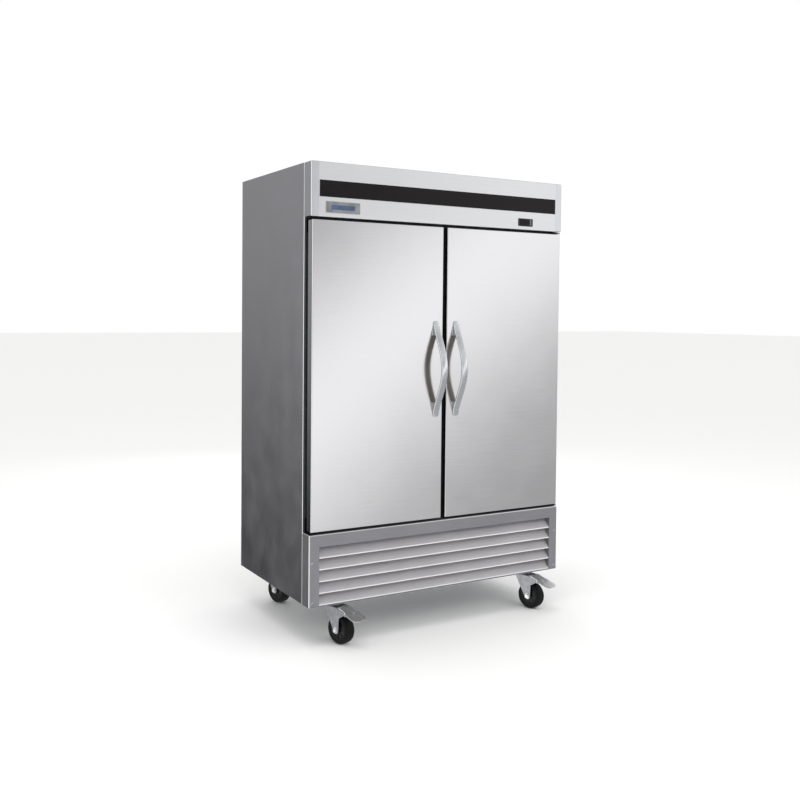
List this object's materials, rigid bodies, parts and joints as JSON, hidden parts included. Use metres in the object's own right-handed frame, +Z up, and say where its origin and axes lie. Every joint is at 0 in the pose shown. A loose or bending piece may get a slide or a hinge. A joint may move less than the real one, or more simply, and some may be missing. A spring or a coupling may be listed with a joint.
{
  "type": "reach in refrigerator",
  "caption": "Upright two-door stainless reach-in refrigerator with bow handles, header controller, louvred bottom panel and swivel casters",
  "frame": {"origin": "on the floor, at the centre of the overall footprint with the brake pedals included", "axes": "+Z up; the doors face -Y; +X is to the right of someone standing in front of the doors"},
  "size_m": [1.37, 0.9076, 2.095],
  "materials": {
    "stainless": "fine brushed stainless steel",
    "side_steel": "satin dark grey stainless side skin",
    "galvanised": "galvanised sheet steel",
    "aluminium": "mill finish aluminium",
    "satin_zinc": "satin plated zinc",
    "black_gloss": "glossy black",
    "black_plastic": "black moulded plastic",
    "grey_plastic": "grey moulded plastic",
    "white_plastic": "white diffuser plastic",
    "vinyl_gasket": "soft magnetic gasket",
    "foam": "rigid polyurethane foam, out of sight",
    "caster_tread": "hard black wheel",
    "compressor_enamel": "black enamel",
    "badge_enamel": "plain enamelled badge",
    "coated_wire": "epoxy coated steel wire"
  },
  "bodies": {
    "cabinet": {"left_side_panel": "side_steel", "right_side_panel": "side_steel", "back_panel": "galvanised", "top_panel": "galvanised", "cabinet_insulation": "foam", "interior_liner": "aluminium", "breaker_frame": "black_plastic", "base_frame": "galvanised", "header_panel": "stainless", "header_end_cap_left": "stainless", "header_end_cap_right": "stainless", "header_strip": "black_gloss", "badge_plate": "badge_enamel", "controller_body": "black_plastic", "louver_panel": "stainless", "condenser_coil": "aluminium", "condenser_fan_shroud": "galvanised", "condenser_fan_motor": "black_plastic", "compressor": "compressor_enamel", "drain_pan": "grey_plastic", "electrical_box": "galvanised", "evaporator_cover": "aluminium", "evaporator_coil": "aluminium", "evaporator_fan_motor": "black_plastic", "interior_light": "white_plastic", "left_hinge_bracket_lower": "galvanised", "left_hinge_bracket_upper": "galvanised", "right_hinge_bracket_lower": "galvanised", "right_hinge_bracket_upper": "galvanised"},
    "left_door": {"left_door_skin": "stainless", "left_door_insulation": "foam", "left_door_inner_panel": "stainless", "left_door_gasket": "vinyl_gasket", "left_door_handle": "satin_zinc"},
    "right_door": {"right_door_skin": "stainless", "right_door_insulation": "foam", "right_door_inner_panel": "stainless", "right_door_gasket": "vinyl_gasket", "right_door_handle": "satin_zinc"},
    "caster_front_left": {"caster_fork_front_left": "satin_zinc"},
    "wheel_front_left": {"caster_wheel_front_left": "caster_tread"},
    "brake_pedal_front_left": {"brake_pedal_front_left": "satin_zinc"},
    "caster_front_right": {"caster_fork_front_right": "satin_zinc"},
    "wheel_front_right": {"caster_wheel_front_right": "caster_tread"},
    "brake_pedal_front_right": {"brake_pedal_front_right": "satin_zinc"},
    "caster_rear_left": {"caster_fork_rear_left": "satin_zinc"},
    "wheel_rear_left": {"caster_wheel_rear_left": "caster_tread"},
    "caster_rear_right": {"caster_fork_rear_right": "satin_zinc"},
    "wheel_rear_right": {"caster_wheel_rear_right": "caster_tread"},
    "condenser_fan": {"condenser_fan_blade": "black_plastic"},
    "evaporator_fan": {"evaporator_fan_blade": "black_plastic"},
    "controller_button_1": {"controller_button_1": "grey_plastic"},
    "controller_button_2": {"controller_button_2": "grey_plastic"},
    "controller_button_3": {"controller_button_3": "grey_plastic"},
    "left_shelf_1": {"left_shelf_1": "coated_wire"},
    "left_shelf_2": {"left_shelf_2": "coated_wire"},
    "left_shelf_3": {"left_shelf_3": "coated_wire"},
    "right_shelf_1": {"right_shelf_1": "coated_wire"},
    "right_shelf_2": {"right_shelf_2": "coated_wire"},
    "right_shelf_3": {"right_shelf_3": "coated_wire"}
  },
  "joints": [
    {"name": "left_door_swing", "type": "hinge", "parent": "cabinet", "child": "left_door", "pos_m": [-0.665, -0.32221, 1.177], "axis": [0, 0, -1], "range_deg": [0, 120], "stiffness_Nm_per_rad": 1.2},
    {"name": "right_door_swing", "type": "hinge", "parent": "cabinet", "child": "right_door", "pos_m": [0.665, -0.32221, 1.177], "axis": [0, 0, 1], "range_deg": [0, 120], "stiffness_Nm_per_rad": 1.2},
    {"name": "caster_front_left_swivel", "type": "hinge", "parent": "cabinet", "child": "caster_front_left", "pos_m": [-0.53, -0.28821, 0.18], "axis": [0, 0, 1], "continuous": true},
    {"name": "wheel_front_left_spin", "type": "hinge", "parent": "caster_front_left", "child": "wheel_front_left", "pos_m": [-0.52068, -0.32298, 0.0635], "axis": [0.9659, 0.2588, 0], "continuous": true},
    {"name": "brake_pedal_front_left_tilt", "type": "hinge", "parent": "caster_front_left", "child": "brake_pedal_front_left", "pos_m": [-0.51447, -0.34616, 0.15], "axis": [0.9659, 0.2588, 0], "range_deg": [-12, 0]},
    {"name": "caster_front_right_swivel", "type": "hinge", "parent": "cabinet", "child": "caster_front_right", "pos_m": [0.53, -0.28821, 0.18], "axis": [0, 0, 1], "continuous": true},
    {"name": "wheel_front_right_spin", "type": "hinge", "parent": "caster_front_right", "child": "wheel_front_right", "pos_m": [0.53932, -0.32298, 0.0635], "axis": [0.9659, 0.2588, 0], "continuous": true},
    {"name": "brake_pedal_front_right_tilt", "type": "hinge", "parent": "caster_front_right", "child": "brake_pedal_front_right", "pos_m": [0.54553, -0.34616, 0.15], "axis": [0.9659, 0.2588, 0], "range_deg": [-12, 0]},
    {"name": "caster_rear_left_swivel", "type": "hinge", "parent": "cabinet", "child": "caster_rear_left", "pos_m": [-0.53, 0.38379, 0.18], "axis": [0, 0, 1], "continuous": true},
    {"name": "wheel_rear_left_spin", "type": "hinge", "parent": "caster_rear_left", "child": "wheel_rear_left", "pos_m": [-0.52068, 0.34902, 0.0635], "axis": [0.9659, 0.2588, 0], "continuous": true},
    {"name": "caster_rear_right_swivel", "type": "hinge", "parent": "cabinet", "child": "caster_rear_right", "pos_m": [0.53, 0.38379, 0.18], "axis": [0, 0, 1], "continuous": true},
    {"name": "wheel_rear_right_spin", "type": "hinge", "parent": "caster_rear_right", "child": "wheel_rear_right", "pos_m": [0.53932, 0.34902, 0.0635], "axis": [0.9659, 0.2588, 0], "continuous": true},
    {"name": "condenser_fan_spin", "type": "hinge", "parent": "cabinet", "child": "condenser_fan", "pos_m": [-0.33, -0.14591, 0.3103], "axis": [0, 1, 0], "continuous": true},
    {"name": "evaporator_fan_spin", "type": "hinge", "parent": "cabinet", "child": "evaporator_fan", "pos_m": [0, 0.06049, 1.9636], "axis": [0, 1, 0], "continuous": true},
    {"name": "controller_button_1_press", "type": "slide", "parent": "cabinet", "child": "controller_button_1", "axis": [0, 1, 0], "range_m": [0, 0.0006], "stiffness_N_per_m": 1500, "springref_m": -0.0004},
    {"name": "controller_button_2_press", "type": "slide", "parent": "cabinet", "child": "controller_button_2", "axis": [0, 1, 0], "range_m": [0, 0.0006], "stiffness_N_per_m": 1500, "springref_m": -0.0004},
    {"name": "controller_button_3_press", "type": "slide", "parent": "cabinet", "child": "controller_button_3", "axis": [0, 1, 0], "range_m": [0, 0.0006], "stiffness_N_per_m": 1500, "springref_m": -0.0004},
    {"name": "left_shelf_1_lift", "type": "slide", "parent": "cabinet", "child": "left_shelf_1", "axis": [0, 0, 1], "range_m": [0, 0.012]},
    {"name": "left_shelf_2_lift", "type": "slide", "parent": "cabinet", "child": "left_shelf_2", "axis": [0, 0, 1], "range_m": [0, 0.012]},
    {"name": "left_shelf_3_lift", "type": "slide", "parent": "cabinet", "child": "left_shelf_3", "axis": [0, 0, 1], "range_m": [0, 0.012]},
    {"name": "right_shelf_1_lift", "type": "slide", "parent": "cabinet", "child": "right_shelf_1", "axis": [0, 0, 1], "range_m": [0, 0.012]},
    {"name": "right_shelf_2_lift", "type": "slide", "parent": "cabinet", "child": "right_shelf_2", "axis": [0, 0, 1], "range_m": [0, 0.012]},
    {"name": "right_shelf_3_lift", "type": "slide", "parent": "cabinet", "child": "right_shelf_3", "axis": [0, 0, 1], "range_m": [0, 0.012]}
  ]
}
